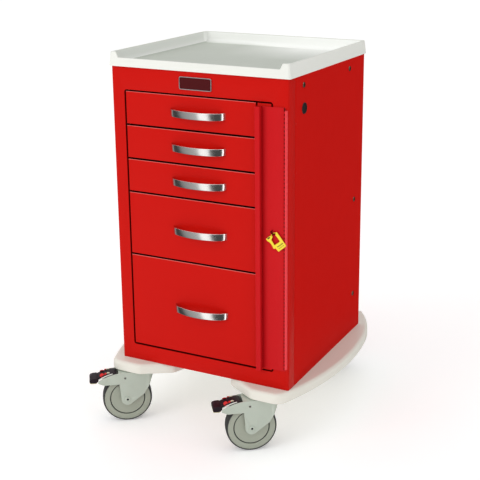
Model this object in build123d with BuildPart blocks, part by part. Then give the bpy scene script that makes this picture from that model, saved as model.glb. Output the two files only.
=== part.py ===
import os
from math import cos, radians, sin

from build123d import *

# A narrow five-drawer crash cart. X runs across the cart, -Y is the drawer side, +Z is up.
# Everything is drawn about the middle of the cabinet and shifted to the middle of the
# footprint when it is written. Lengths are in millimetres.

# --- cabinet ---
cabinet_width = 438.0
cabinet_depth = 429.0
cabinet_height = 703.2
sheet = 1.2
corner_radius = 4.5
left_stile = 32.0
right_stile = 37.4
sill_height = 38.6
frame_return = 16.0       # how far the frame turns in round the drawer opening
frame_wrap = 30.0         # how far the front frame wraps round the sides
opening_corner = 6.0
rear_flange = 18.0
post_depth = 30.0         # posts that carry the left drawer slides
post_wall = 1.5

# --- drawers ---
drawer_pitches = (77.8, 77.8, 77.8, 150.2, 226.0)     # from the top down
reveal = 3.6              # open line round each drawer front
front_thickness = 18.0
front_skin = 1.2
front_edge = 1.2
front_lip = 14.0          # rear flange of a drawer front, where the box is fixed
divider_x = 145.5         # left face of the channel behind the lock bar
box_wall = 1.0
box_length = 385.0
box_drop = 10.0           # drawer box below the top of its front
box_rise = 8.0            # drawer box above the bottom of its front

# --- telescopic slides ---
slide_depth = 13.0        # from the cabinet face to the drawer box
slide_height = 36.0
slide_length = 380.0
slide_sheet = 1.4
slide_play = 0.3
slide_setback = 20.0
slide_lift = 3.0          # slide above the bottom of the drawer box

# --- drawer pulls ---
pull_span = 137.0
pull_reach = 26.0
pull_height = 16.0
pull_band = 3.0
pull_shoulder = 9.0       # where the bow turns in towards the drawer
pull_offset = 0.0

# --- lock bar and piano hinge ---
bar_left = 145.0
bar_sheet = 1.2
bar_end_gap = 9.0         # bar ends inside the opening, at the top and the bottom
rib_width = 12.0
rib_reach = 10.5
rib_end_gap = 4.0         # rib ends this far above the bottom of the opening
leaf_sheet = 1.2
leaf_width = 26.0
leaf_play = 0.3
barrel_radius = 3.2
barrel_inset = 4.5        # barrel axis from the side of the cabinet
pin_radius = 1.5
pin_play = 0.05
knuckle = 12.7
knuckle_play = 0.25

# --- breakaway seal, hung on the staple of the bar ---
seal_x = 183.8
seal_z = 369.0            # staple above the underside of the cabinet
seal_tilt = 39.8
seal_thickness = 2.2
seal_drop = 40.0          # shackle to the foot of the seal
seal_right = 10.5         # staple to the right edge of the seal
seal_left = 22.0          # staple to the left edge of the seal
seal_plate_width = 24.0
seal_plate_height = 16.5
seal_shackle = 2.4
seal_post = 4.0
staple_width = 4.0
staple_sheet = 1.5
staple_span = 10.0
seal_play = 0.4           # seal to the hinge barrel behind it and the staple in front

# --- top tray ---
tray_height = 31.4
tray_flare = 4.5          # skirt past the cabinet at its bottom edge
tray_rim_reach = 1.5      # rim past the cabinet at its top edge
tray_rim = 4.5
tray_floor = 3.5
tray_cove = 12.0
tray_corner = 5.0
tray_edge = 1.6
lip_drop = 12.7           # front lip below the rim
lip_shoulder = 14.0
lip_slope = 6.0

# --- base bumper ---
base_thickness = 24.0
base_edge = 9.0
base_underedge = 3.0
lobe_reach = 30.5         # front lobes ahead of the cabinet
lobe_inner = 142.0        # caster centre line to the inside tip of a lobe
lobe_shoulder = 69.0
lobe_rise = 43.0          # slant of the lobe's inner front edge
recess_depth = 86.0       # recess between the front lobes, behind the drawer face
recess_half = 50.0
base_offset = -10.0       # middle of the base from the middle of the cabinet
side_front_bulge = 3.0    # base past the cabinet at the front corners
side_mid_bulge = 59.0     # widest part of the base past the cabinet
side_rear_bulge = 51.0
rear_reach = 94.5         # base behind the cabinet
rear_recess = 14.0
rear_taper = 13.0         # rear corner inboard of the cabinet side
rear_slant = 6.0
lobe_fillet = 30.0
tip_fillet = 16.0
recess_fillet = 30.0

# --- casters ---
wheel_radius = 58.5
tyre_width = 32.0
tyre_depth = 6.0
core_groove_radius = 40.5
core_groove = 2.2
hub_radius = 14.0
floor_gap = 11.5          # tyre to the underside of the base
caster_inset = 52.0       # swivel axis inboard of the cabinet side
caster_setback = 10.5     # front swivel axis behind the drawer face
caster_reach = 53.5       # rear swivel axis behind the cabinet
caster_trail = 44.0
caster_yaw = 36.0         # trail direction, turned from -X towards -Y
fork_sheet = 2.5
fork_play = 3.0           # tyre to each fork cheek
fork_top_gap = 2.0        # fork crown below the base
axle_radius = 5.0
running_play = 0.05
head_radius = 7.5
head_height = 4.0
pocket_radius = 37.0
pocket_depth = 15.0
plate_radius = 32.0
plate_sheet = 4.0
race_radius = 24.0
race_play = 0.3
kingpin_radius = 6.0
pedal_width = 32.0
pad_width = 37.0
pedal_pin_radius = 2.5

# --- badge, screws and plugs ---
badge_width = 80.0
badge_height = 28.5
badge_sheet = 2.5
badge_rim = 2.6
badge_offset = -3.6
badge_drop = 26.3         # badge centre below the top of the cabinet
screw_radius = 6.25
screw_dome = 2.0
plug_radius = 12.5
plug_sheet = 1.5

# --- heights and faces that follow ---
base_bottom = 2 * wheel_radius + floor_gap
base_top = base_bottom + base_thickness
cabinet_top = base_top + cabinet_height
half_width = cabinet_width / 2
front_y = -cabinet_depth / 2
back_y = cabinet_depth / 2
opening_left = left_stile - half_width
opening_right = half_width - right_stile
opening_width = opening_right - opening_left
opening_mid_x = (opening_right + opening_left) / 2
opening_bottom = base_top + sill_height
opening_top = opening_bottom + sum(drawer_pitches) + reveal
opening_height = opening_top - opening_bottom
opening_mid_z = (opening_top + opening_bottom) / 2
header_height = cabinet_top - opening_top
front_left = opening_left + reveal
front_right = divider_x - reveal
front_width = front_right - front_left
front_mid_x = (front_right + front_left) / 2
front_back_y = front_y + front_thickness
inner_width = cabinet_width - 2 * sheet
inner_depth = cabinet_depth - 2 * sheet
inner_top = cabinet_top - sheet
inner_bottom = base_top + sheet
bar_bottom = opening_bottom + bar_end_gap
bar_height = opening_height - 2 * bar_end_gap
rib_bottom = opening_bottom + rib_end_gap
rib_height = bar_bottom + bar_height - rib_bottom
barrel_x = half_width - barrel_inset
barrel_y = front_y - barrel_radius - leaf_play
fixed_leaf_y = front_y - leaf_sheet
moving_leaf_y = fixed_leaf_y - leaf_play - leaf_sheet
bar_y = moving_leaf_y - bar_sheet
pull_foot_y = front_y
caster_x = half_width - caster_inset
caster_front_y = front_y + caster_setback
caster_rear_y = back_y + caster_reach
caster_places = {
    "front_left": (-caster_x, caster_front_y),
    "front_right": (caster_x, caster_front_y),
    "rear_left": (-caster_x, caster_rear_y),
    "rear_right": (caster_x, caster_rear_y),
}
trail = Vector(-cos(radians(caster_yaw)), -sin(radians(caster_yaw)), 0)
across = Vector(sin(radians(caster_yaw)), -cos(radians(caster_yaw)), 0)
pedal_reach = wheel_radius + 29.5
base_rear_y = back_y + rear_reach
pieces = {}


def keep(part, name):
    """Keeps one finished piece under its name, to be written with the others at the end."""
    pieces[name] = part


# ---------------------------------------------------------------- cabinet
with BuildPart() as front_frame:
    with BuildSketch(Plane.XY.offset(base_top)):
        RectangleRounded(cabinet_width, cabinet_depth, corner_radius)
        RectangleRounded(inner_width, inner_depth, corner_radius - sheet, mode=Mode.SUBTRACT)
        with Locations((0, front_y + frame_wrap / 2)):
            Rectangle(cabinet_width, frame_wrap, mode=Mode.INTERSECT)
    extrude(amount=cabinet_height)
    with BuildSketch(Plane.XZ.offset(-front_y - frame_return)):
        with Locations((opening_mid_x, opening_mid_z)):
            RectangleRounded(opening_width + 2 * sheet, opening_height + 2 * sheet, opening_corner + sheet)
    extrude(amount=frame_return)
    with BuildSketch(Plane.XZ.offset(-front_y - frame_return)):
        with Locations((opening_mid_x, opening_mid_z)):
            RectangleRounded(opening_width, opening_height, opening_corner)
    extrude(amount=frame_return, mode=Mode.SUBTRACT)
keep(front_frame.part, "front_frame")

side_front_y = front_y + frame_wrap
side_depth = back_y - side_front_y
plug_y = front_y + 77.0
plug_z = cabinet_top - 73.8
screw_places = (
    (front_y + 74.5, cabinet_top - 23.2),
    (back_y - 93.5, cabinet_top - 24.6),
    (back_y - 50.0, base_top + 349.0),
    (back_y - 46.0, base_top + 100.0),
)


def side_panel(side):
    """One side wall with its rear flange; side is -1 on the left and +1 on the right."""
    with BuildPart() as panel:
        with BuildSketch(Plane.XY.offset(base_top)):
            with Locations((side * (half_width - sheet / 2), side_front_y + side_depth / 2)):
                Rectangle(sheet, side_depth)
            with Locations((side * (half_width - rear_flange / 2), back_y - sheet / 2)):
                Rectangle(rear_flange, sheet)
        extrude(amount=cabinet_height)
        with Locations(Plane(origin=(side * half_width, plug_y, plug_z), z_dir=(side, 0, 0))):
            Hole(plug_radius - plug_sheet, depth=2 * sheet)
        for y, z in screw_places:
            with Locations(Plane(origin=(side * half_width, y, z), z_dir=(side, 0, 0))):
                Hole(screw_radius / 2, depth=2 * sheet)
    return panel.part


keep(side_panel(-1), "side_panel_left")
keep(side_panel(1), "side_panel_right")

with BuildPart() as back_panel:
    with BuildSketch(Plane.XY.offset(base_top)):
        with Locations((0, back_y - sheet / 2)):
            Rectangle(cabinet_width - 2 * rear_flange, sheet)
    extrude(amount=cabinet_height)
keep(back_panel.part, "back_panel")

with BuildPart() as top_deck:
    with BuildSketch(Plane.XY.offset(inner_top)):
        RectangleRounded(inner_width, inner_depth, corner_radius - sheet)
    extrude(amount=sheet)
keep(top_deck.part, "top_deck")

with BuildPart() as bottom_pan:
    with BuildSketch(Plane.XY.offset(base_top)):
        RectangleRounded(inner_width, inner_depth, corner_radius - sheet)
    extrude(amount=sheet)
keep(bottom_pan.part, "bottom_pan")

post_width = left_stile - sheet
post_mid_x = opening_left - post_width / 2
post_front_y = front_y + frame_wrap + post_depth / 2
post_rear_y = back_y - frame_wrap - post_depth / 2
with BuildPart() as slide_posts:
    with BuildSketch(Plane.XY.offset(inner_bottom)):
        with Locations((post_mid_x, post_front_y), (post_mid_x, post_rear_y)):
            Rectangle(post_width, post_depth)
            Rectangle(post_width - 2 * post_wall, post_depth - 2 * post_wall, mode=Mode.SUBTRACT)
    extrude(amount=inner_top - inner_bottom)
keep(slide_posts.part, "slide_posts")

# The channel behind the lock bar: its face lies flush with the drawer fronts, and its
# web is the wall that carries the right drawer slides.
channel_width = opening_right - reveal - divider_x
channel_mid_x = divider_x + channel_width / 2
web_depth = back_y - sheet - front_back_y
with BuildPart() as lock_channel:
    with BuildSketch(Plane.XY.offset(opening_bottom + reveal)):
        with Locations((channel_mid_x, front_y + front_thickness / 2)):
            Rectangle(channel_width, front_thickness)
    extrude(amount=opening_height - 2 * reveal)
    with BuildSketch(Plane.XY.offset(opening_bottom + reveal + sheet)):
        with Locations((channel_mid_x, front_y + front_thickness / 2)):
            Rectangle(channel_width - 2 * sheet, front_thickness - 2 * sheet)
    extrude(amount=opening_height - 2 * reveal - 2 * sheet, mode=Mode.SUBTRACT)
    with BuildSketch(Plane.XY.offset(inner_bottom)):
        with Locations((divider_x + sheet / 2, front_back_y + web_depth / 2)):
            Rectangle(sheet, web_depth)
    extrude(amount=inner_top - inner_bottom)
keep(lock_channel.part, "lock_channel")

# ---------------------------------------------------------------- drawers and slides
drawer_tops = [opening_top - reveal - sum(drawer_pitches[:i]) for i in range(len(drawer_pitches))]
slide_front_y = front_y + slide_setback
slide_mid_y = slide_front_y + slide_length / 2
box_left = opening_left + slide_depth
box_right = divider_x - slide_depth
box_width = box_right - box_left
box_mid_x = (box_right + box_left) / 2
box_mid_y = front_back_y + box_length / 2
slide_walls = ((opening_left, 1), (divider_x, -1))
half_slide = slide_height / 2
lip_height = half_slide - slide_sheet - slide_play     # half height of the middle member
waist_height = lip_height - 4.3


def front_height(i):
    return drawer_pitches[i] - reveal


def box_bottom(i):
    return drawer_tops[i] - front_height(i) + box_rise


def slide_z(i):
    return box_bottom(i) + slide_lift + half_slide


def slide_bar(wall, side, near, far, low, high):
    """A straight bar along the slide; near and far are measured from the wall it hangs on."""
    with BuildPart(mode=Mode.PRIVATE) as bar:
        with BuildSketch(Plane.XZ.offset(-slide_front_y - slide_length)):
            with Locations((wall + side * (near + far) / 2, (low + high) / 2)):
                Rectangle(far - near, high - low)
        extrude(amount=slide_length)
    return bar.part


outer_lip = 7.0
inner_lip = outer_lip + slide_play
mid_step = outer_lip - slide_play
inner_web = slide_depth - slide_sheet

with BuildPart() as slide_outers:
    for i in range(len(drawer_pitches)):
        z = slide_z(i)
        for wall, side in slide_walls:
            add(slide_bar(wall, side, 0, slide_sheet, z - half_slide, z + half_slide))
            add(slide_bar(wall, side, 0, outer_lip, z + half_slide - slide_sheet, z + half_slide))
            add(slide_bar(wall, side, 0, outer_lip, z - half_slide, z - half_slide + slide_sheet))
keep(slide_outers.part, "slide_outers")


def slide_middles(z):
    with BuildPart() as middles:
        for wall, side in slide_walls:
            add(slide_bar(wall, side, slide_sheet + slide_play, mid_step, z - lip_height, z + lip_height))
            add(slide_bar(wall, side, mid_step, inner_web - slide_play, z - waist_height, z + waist_height))
    return middles.part


def drawer_box(i):
    """An open steel box, with the inner slide members riveted to its sides."""
    bottom = box_bottom(i)
    height = drawer_tops[i] - box_drop - bottom
    z = slide_z(i)
    flange = waist_height + slide_play
    with BuildPart() as box:
        with BuildSketch(Plane.XY.offset(bottom)):
            with Locations((box_mid_x, box_mid_y)):
                Rectangle(box_width, box_length)
        extrude(amount=height)
        with BuildSketch(Plane.XY.offset(bottom + box_wall)):
            with Locations((box_mid_x, box_mid_y)):
                Rectangle(box_width - 2 * box_wall, box_length - 2 * box_wall)
        extrude(amount=height, mode=Mode.SUBTRACT)
        for wall, side in slide_walls:
            add(slide_bar(wall, side, inner_web, slide_depth, z - flange - slide_sheet, z + flange + slide_sheet))
            add(slide_bar(wall, side, inner_lip, slide_depth, z + flange, z + flange + slide_sheet))
            add(slide_bar(wall, side, inner_lip, slide_depth, z - flange - slide_sheet, z - flange))
    return box.part


def drawer_front(i):
    """A folded sheet front with a rear flange all round, which the drawer box is fixed to."""
    height = front_height(i)
    mid_z = drawer_tops[i] - height / 2
    with BuildPart() as front:
        with BuildSketch(Plane.XZ.offset(-front_back_y)):
            with Locations((front_mid_x, mid_z)):
                Rectangle(front_width, height)
        extrude(amount=front_thickness)
        fillet(front.faces().sort_by(Axis.Y)[0].edges(), front_edge)
        with BuildSketch(Plane.XZ.offset(front_skin - front_back_y)):
            with Locations((front_mid_x, mid_z)):
                Rectangle(front_width - 2 * front_skin, height - 2 * front_skin)
        extrude(amount=front_thickness - 2 * front_skin - front_edge, mode=Mode.SUBTRACT)
        with BuildSketch(Plane.XZ.offset(-front_back_y)):
            with Locations((front_mid_x, mid_z)):
                Rectangle(front_width - 2 * front_lip, height - 2 * front_lip)
        extrude(amount=front_skin, mode=Mode.SUBTRACT)
    return front.part


def bow_outline(span, reach, shoulder_x, shoulder_y):
    """Half-plane outline of a bow that stands on the drawer face and closes along it."""
    middle = ThreePointArc((-shoulder_x, shoulder_y), (0, -reach), (shoulder_x, shoulder_y))
    TangentArc(middle @ 1, (span / 2, 0), tangent=middle % 1)
    TangentArc(middle @ 0, (-span / 2, 0), tangent=-(middle % 0))
    Line((-span / 2, 0), (span / 2, 0))


def drawer_pull(i):
    mid_z = drawer_tops[i] - front_height(i) / 2
    shoulder_x = pull_span / 2 - 2 * pull_shoulder
    place = Plane(origin=(pull_offset, pull_foot_y, mid_z - pull_height / 2))
    with BuildPart() as pull:
        with BuildSketch(place):
            with BuildLine():
                bow_outline(pull_span, pull_reach, shoulder_x, pull_shoulder - pull_reach)
            make_face()
            with BuildLine():
                bow_outline(pull_span - 2 * pull_band, pull_reach - pull_band, shoulder_x - pull_band / 3,
                            pull_shoulder - pull_reach + pull_band)
            make_face(mode=Mode.SUBTRACT)
        extrude(amount=pull_height)
    return pull.part


for i in range(len(drawer_pitches)):
    keep(drawer_box(i), f"drawer_{i + 1}_box")
    keep(drawer_front(i), f"drawer_{i + 1}_front")
    keep(drawer_pull(i), f"drawer_{i + 1}_pull")
    keep(slide_middles(slide_z(i)), f"drawer_{i + 1}_slide_middles")

# ---------------------------------------------------------------- piano hinge and lock bar
leaf_edge_x = barrel_x - barrel_radius - leaf_play
leaf_mid_x = leaf_edge_x - leaf_width / 2
knuckle_count = int(bar_height / knuckle)
hinge_bottom = bar_bottom + (bar_height - knuckle_count * knuckle) / 2


def hinge_leaf(outer_y, first, bore):
    """One leaf of the piano hinge, with every second knuckle starting at first."""
    with BuildPart() as leaf:
        with BuildSketch(Plane.XY.offset(bar_bottom)):
            with Locations((leaf_mid_x, outer_y + leaf_sheet / 2)):
                Rectangle(leaf_width, leaf_sheet)
        extrude(amount=bar_height)
        for k in range(first, knuckle_count, 2):
            low = hinge_bottom + k * knuckle + knuckle_play / 2
            with BuildSketch(Plane.XY.offset(low)):
                with Locations((barrel_x, barrel_y)):
                    Circle(barrel_radius)
                with Locations(((leaf_edge_x + barrel_x) / 2, outer_y + leaf_sheet / 2)):
                    Rectangle(barrel_x - leaf_edge_x, leaf_sheet)
                with Locations((barrel_x, barrel_y)):
                    Circle(bore, mode=Mode.SUBTRACT)
            extrude(amount=knuckle - knuckle_play)
    return leaf.part


with BuildPart() as hinge_pin:
    with BuildSketch(Plane.XY.offset(hinge_bottom)):
        with Locations((barrel_x, barrel_y)):
            Circle(pin_radius)
    extrude(amount=knuckle_count * knuckle)
keep(hinge_leaf(fixed_leaf_y, 0, pin_radius), "hinge_fixed_leaf")
keep(hinge_leaf(moving_leaf_y, 1, pin_radius + pin_play), "hinge_moving_leaf")
keep(hinge_pin.part, "hinge_pin")

seal_height = base_top + seal_z
seal_lean = (cos(radians(seal_tilt)), 0, sin(radians(seal_tilt)))
seal_back_y = barrel_y - barrel_radius - seal_play
staple_room = bar_y - seal_back_y + seal_thickness + seal_play
seal_plane = Plane(origin=(seal_x, seal_back_y, seal_height), x_dir=seal_lean, z_dir=(0, -1, 0))
staple_plane = Plane(origin=(seal_x, bar_y, seal_height), x_dir=seal_lean, z_dir=(0, -1, 0))

with BuildPart() as lock_bar:
    with BuildSketch(Plane.XY.offset(bar_bottom)):
        with Locations(((bar_left + leaf_edge_x) / 2, bar_y + bar_sheet / 2)):
            Rectangle(leaf_edge_x - bar_left, bar_sheet)
    extrude(amount=bar_height)
    with BuildSketch(Plane.XY.offset(rib_bottom)):
        with Locations((bar_left + rib_width / 2, bar_y + (bar_sheet - rib_reach) / 2)):
            Rectangle(rib_width, rib_reach + bar_sheet)
    extrude(amount=rib_height)
    with BuildSketch(Plane.XY.offset(rib_bottom)):
        with Locations((bar_left + rib_width / 2, bar_y - rib_reach / 2 + bar_sheet)):
            Rectangle(rib_width - 2 * bar_sheet, rib_reach)
    extrude(amount=rib_height, mode=Mode.SUBTRACT)
    fillet(lock_bar.edges().filter_by(Axis.Z).group_by(Axis.Y)[0], bar_sheet)
    with BuildSketch(staple_plane):
        Rectangle(staple_width, staple_span)
    extrude(amount=staple_room + staple_sheet)
    with BuildSketch(staple_plane):
        Rectangle(staple_width, staple_span - 2 * staple_sheet)
    extrude(amount=staple_room, mode=Mode.SUBTRACT)
keep(lock_bar.part, "lock_bar")

# The seal is a padlock-shaped plastic tag: a plate with a thin shackle that runs through
# the staple into a barbed post at the left.
seal_mid_x = (seal_right - seal_left) / 2
plate_mid_x = seal_right - seal_plate_width / 2
plate_mid_y = seal_plate_height / 2 - seal_drop
post_height = seal_drop - seal_plate_height / 2
with BuildPart() as seal:
    with BuildSketch(seal_plane):
        with Locations((seal_mid_x, 0)):
            SlotOverall(seal_right + seal_left, seal_shackle)
        with Locations((plate_mid_x, plate_mid_y)):
            RectangleRounded(seal_plate_width, seal_plate_height, 1.5)
        with Locations((seal_right - seal_post / 2, -post_height / 2)):
            Rectangle(seal_post, post_height)
        with Locations((-seal_left + seal_post / 2, -post_height / 2 + 1)):
            Rectangle(seal_post, post_height + 2)
        with Locations((-seal_left + 5, plate_mid_y + 2)):
            RectangleRounded(10, seal_plate_height - 6, 1.5)
        with Locations((-seal_left + 2.5, -3)):
            RectangleRounded(8, 9, 2)
    extrude(amount=seal_thickness)
keep(seal.part, "seal")

# ---------------------------------------------------------------- top tray
outer_bottom_width = cabinet_width + 2 * tray_flare
outer_bottom_depth = cabinet_depth + 2 * tray_flare
outer_top_width = cabinet_width + 2 * tray_rim_reach
outer_top_depth = cabinet_depth + 2 * tray_rim_reach
tray_inner_width = outer_top_width - 2 * tray_rim
tray_inner_depth = outer_top_depth - 2 * tray_rim
tray_top = cabinet_top + tray_height
tray_floor_z = cabinet_top + tray_floor
with BuildPart() as top_tray:
    with BuildSketch(Plane.XY.offset(cabinet_top)):
        RectangleRounded(outer_bottom_width, outer_bottom_depth, tray_corner)
    with BuildSketch(Plane.XY.offset(tray_top)):
        RectangleRounded(outer_top_width, outer_top_depth, tray_corner)
    loft()
    with BuildPart(mode=Mode.SUBTRACT) as basin:
        with BuildSketch(Plane.XY.offset(tray_floor_z)):
            RectangleRounded(tray_inner_width, tray_inner_depth, tray_cove + 1)
        extrude(amount=tray_height)
        fillet(basin.faces().sort_by(Axis.Z)[0].edges(), tray_cove)
    fillet(top_tray.faces().sort_by(Axis.Z)[-1].edges(), tray_edge)
    with BuildSketch(Plane.XZ.offset(-front_y - tray_cove)):
        with BuildLine():
            Polyline(
                (-half_width + lip_shoulder, tray_top + tray_edge),
                (-half_width + lip_shoulder, tray_top),
                (-half_width + lip_shoulder + lip_slope, tray_top - lip_drop),
                (half_width - lip_shoulder - lip_slope, tray_top - lip_drop),
                (half_width - lip_shoulder, tray_top),
                (half_width - lip_shoulder, tray_top + tray_edge),
                close=True,
            )
        make_face()
    extrude(amount=2 * tray_cove, mode=Mode.SUBTRACT)
keep(top_tray.part, "top_tray")

# ---------------------------------------------------------------- base bumper
front_lobe_y = front_y - lobe_reach
recess_y = front_y + recess_depth
lobe_tip_y = front_lobe_y + lobe_rise
rear_recess_y = back_y + rear_recess
side_front = (half_width + side_front_bulge, front_lobe_y)
side_mid = (half_width + side_mid_bulge, front_y + 199.5)
side_rear = (half_width + side_rear_bulge, front_y + 369.5)
rear_corner = (half_width - rear_taper, base_rear_y - rear_slant)
corner_levels = (
    (front_lobe_y, lobe_fillet),
    (lobe_tip_y, tip_fillet),
    (recess_y, recess_fillet),
    (base_rear_y, lobe_fillet),
    (base_rear_y - lobe_rise, tip_fillet),
    (rear_recess_y, recess_fillet),
)
with BuildPart() as base:
    with BuildSketch(Plane(origin=(base_offset, 0, base_bottom))) as base_plan:
        with BuildLine():
            Polyline(
                (0, recess_y),
                (recess_half, recess_y),
                (lobe_shoulder + 7, lobe_tip_y),
                (lobe_inner + 6, front_lobe_y),
                side_front,
            )
            side_arc = ThreePointArc(side_front, side_mid, side_rear)
            TangentArc(side_arc @ 1, rear_corner, tangent=side_arc % 1)
            Polyline(
                rear_corner,
                (lobe_inner, base_rear_y),
                (lobe_shoulder + 7, base_rear_y - lobe_rise),
                (recess_half, rear_recess_y),
                (0, rear_recess_y),
                (0, recess_y),
            )
        make_face()
        mirror(about=Plane.YZ)
        for level, radius in corner_levels:
            corners = base_plan.vertices().filter_by_position(Axis.Y, level - 1, level + 1)
            fillet(corners.filter_by(lambda corner: abs(corner.X) > recess_half / 2), radius)
    extrude(amount=base_thickness)
    fillet(base.faces().sort_by(Axis.Z)[-1].edges(), base_edge)
    fillet(base.faces().sort_by(Axis.Z)[0].edges(), base_underedge)
    with BuildSketch(Plane.XY.offset(base_bottom)):
        with Locations(*caster_places.values()):
            Circle(pocket_radius)
    extrude(amount=pocket_depth, mode=Mode.SUBTRACT)
keep(base.part, "base_bumper")

# ---------------------------------------------------------------- badge, screws and plugs
badge_z = cabinet_top - badge_drop
with BuildPart() as badge:
    with BuildSketch(Plane.XZ.offset(-front_y)):
        with Locations((badge_offset, badge_z)):
            RectangleRounded(badge_width, badge_height, 4)
    extrude(amount=badge_sheet)
    with BuildSketch(Plane.XZ.offset(-front_y + badge_sheet)):
        with Locations((badge_offset, badge_z)):
            RectangleRounded(badge_width - 2 * badge_rim, badge_height - 2 * badge_rim, 2)
    extrude(amount=-badge_sheet / 3, mode=Mode.SUBTRACT)
keep(badge.part, "badge")

with BuildPart() as side_screws:
    for side in (-1, 1):
        for y, z in screw_places:
            head = Plane(origin=(side * half_width, y, z), z_dir=(side, 0, 0))
            with BuildSketch(head):
                Circle(screw_radius)
            extrude(amount=screw_dome)
            with BuildSketch(head):
                Circle(screw_radius / 2)
            extrude(amount=-sheet)
    heads = side_screws.faces().filter_by(Axis.X).group_by(Axis.X)
    fillet(heads[0].edges() + heads[-1].edges(), screw_dome * 0.9)
keep(side_screws.part, "side_screws")

with BuildPart() as side_plugs:
    for side in (-1, 1):
        cap = Plane(origin=(side * half_width, plug_y, plug_z), z_dir=(side, 0, 0))
        with BuildSketch(cap):
            Circle(plug_radius)
        extrude(amount=plug_sheet)
        with BuildSketch(cap):
            Circle(plug_radius - plug_sheet)
        extrude(amount=-4 * sheet)
keep(side_plugs.part, "side_plugs")

# ---------------------------------------------------------------- casters
crown_z = base_bottom - fork_top_gap
ceiling_z = base_bottom + pocket_depth
race_top = crown_z + (ceiling_z - plate_sheet - crown_z) / 2
cheek_inner = tyre_width / 2 + fork_play
cheek_outer = cheek_inner + fork_sheet
crown_rise = crown_z - wheel_radius      # fork crown above the axle
roof_rise = crown_rise - fork_sheet
nose_u = -caster_trail - cheek_outer
arm_u = wheel_radius + 8.5
pivot_u = 44.0
pivot_rise = 52.0
roof_end_u = 20.0
hub_half = cheek_inner - 0.5
core_half = tyre_width / 2 - 1.0
tyre_inner = wheel_radius - tyre_depth


with BuildPart() as caster_mounts:
    for x, y in caster_places.values():
        with BuildSketch(Plane.XY.offset(ceiling_z - plate_sheet)):
            with Locations((x, y)):
                Circle(plate_radius)
        extrude(amount=plate_sheet)
        with BuildSketch(Plane.XY.offset(race_top + race_play)):
            with Locations((x, y)):
                Circle(race_radius)
        extrude(amount=ceiling_z - plate_sheet - race_top - race_play)
        with BuildSketch(Plane.XY.offset(crown_z - fork_sheet - race_play)):
            with Locations((x, y)):
                Circle(kingpin_radius)
        extrude(amount=ceiling_z - crown_z + fork_sheet)
        with BuildSketch(Plane.XY.offset(crown_z - fork_sheet - race_play)):
            with Locations((x, y)):
                Circle(kingpin_radius * 1.6)
        extrude(amount=-plate_sheet)
keep(caster_mounts.part, "caster_mounts")


def wheel_frame(x, y):
    """Sketch plane through the axle: first axis along the trail, second axis up."""
    axle = Vector(x, y, wheel_radius) + trail * caster_trail
    return Plane(origin=axle, x_dir=trail, z_dir=-across)


def fork(x, y):
    side = wheel_frame(x, y)
    plan = Plane(origin=Vector(x, y, 0), x_dir=trail, z_dir=(0, 0, 1))
    reach = caster_trail + arm_u
    with BuildPart() as shell:
        with BuildSketch(side):
            with BuildLine():
                arm_top = ThreePointArc((10, crown_rise), (42, crown_rise - 5.5), (arm_u, crown_rise - 17))
                Polyline(arm_top @ 1, (arm_u + 1, crown_rise - 22), (55, 40), (18, 40), (14.5, 0))
                ThreePointArc((14.5, 0), (2.5, -14.3), (-10.5, -10))
                Polyline((-10.5, -10), (-40, 12), (-53, 33), (-62, 58), (nose_u, crown_rise), (10, crown_rise))
            make_face()
        extrude(amount=cheek_outer, both=True)
        with BuildSketch(plan):
            with Locations((reach / 2 + 2, 0)):
                Rectangle(reach + 4, 2 * cheek_outer)
            Circle(cheek_outer)
        extrude(amount=cabinet_top, mode=Mode.INTERSECT)
        with BuildSketch(plan.offset(-wheel_radius)):
            with Locations((reach / 2 + 4, 0)):
                Rectangle(reach + 8, 2 * cheek_inner)
            Circle(cheek_inner)
        extrude(amount=2 * wheel_radius + roof_rise, mode=Mode.SUBTRACT)
        with BuildSketch(plan.offset(wheel_radius)):
            with Locations((caster_trail + roof_end_u + reach / 2, 0)):
                Rectangle(reach, 2 * cheek_inner)
        extrude(amount=crown_rise + fork_sheet, mode=Mode.SUBTRACT)
        with BuildSketch(plan.offset(crown_z)):
            Circle(race_radius + 4)
        extrude(amount=race_top - crown_z)
        with BuildSketch(plan.offset(crown_z - 2 * fork_sheet)):
            Circle(kingpin_radius + running_play)
        extrude(amount=race_top - crown_z + 2 * fork_sheet, mode=Mode.SUBTRACT)
        with BuildSketch(side):
            Circle(axle_radius)
            with Locations((pivot_u, pivot_rise)):
                Circle(pedal_pin_radius + running_play)
        extrude(amount=cheek_outer + 1, both=True, mode=Mode.SUBTRACT)
    return shell.part


def axle(x, y):
    side = wheel_frame(x, y)
    with BuildPart() as bolt:
        with BuildSketch(side):
            Circle(axle_radius)
        extrude(amount=cheek_outer, both=True)
        with BuildSketch(side.offset(cheek_outer)):
            RegularPolygon(head_radius, 6)
        extrude(amount=head_height)
        with BuildSketch(side.offset(-cheek_outer)):
            Circle(head_radius)
        extrude(amount=-head_height)
        fillet(bolt.faces().sort_by(Axis(side.origin, side.z_dir))[0].edges(), head_height / 3)
        with BuildSketch(side.offset(-cheek_outer - head_height)):
            RegularPolygon(axle_radius / 2, 6)
        extrude(amount=head_height / 2, mode=Mode.SUBTRACT)
    return bolt.part


def turned(x, y, outline):
    """Turns an outline, given as (radius, half width) corners, round the axle."""
    side = wheel_frame(x, y)
    section = Plane(origin=side.origin, x_dir=(0, 0, 1), z_dir=trail)
    with BuildPart() as body:
        with BuildSketch(section):
            with BuildLine():
                Polyline(*outline, close=True)
            make_face()
            mirror(about=Plane.XZ)
        revolve(axis=Axis(side.origin, side.z_dir))
    return body.part


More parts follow.
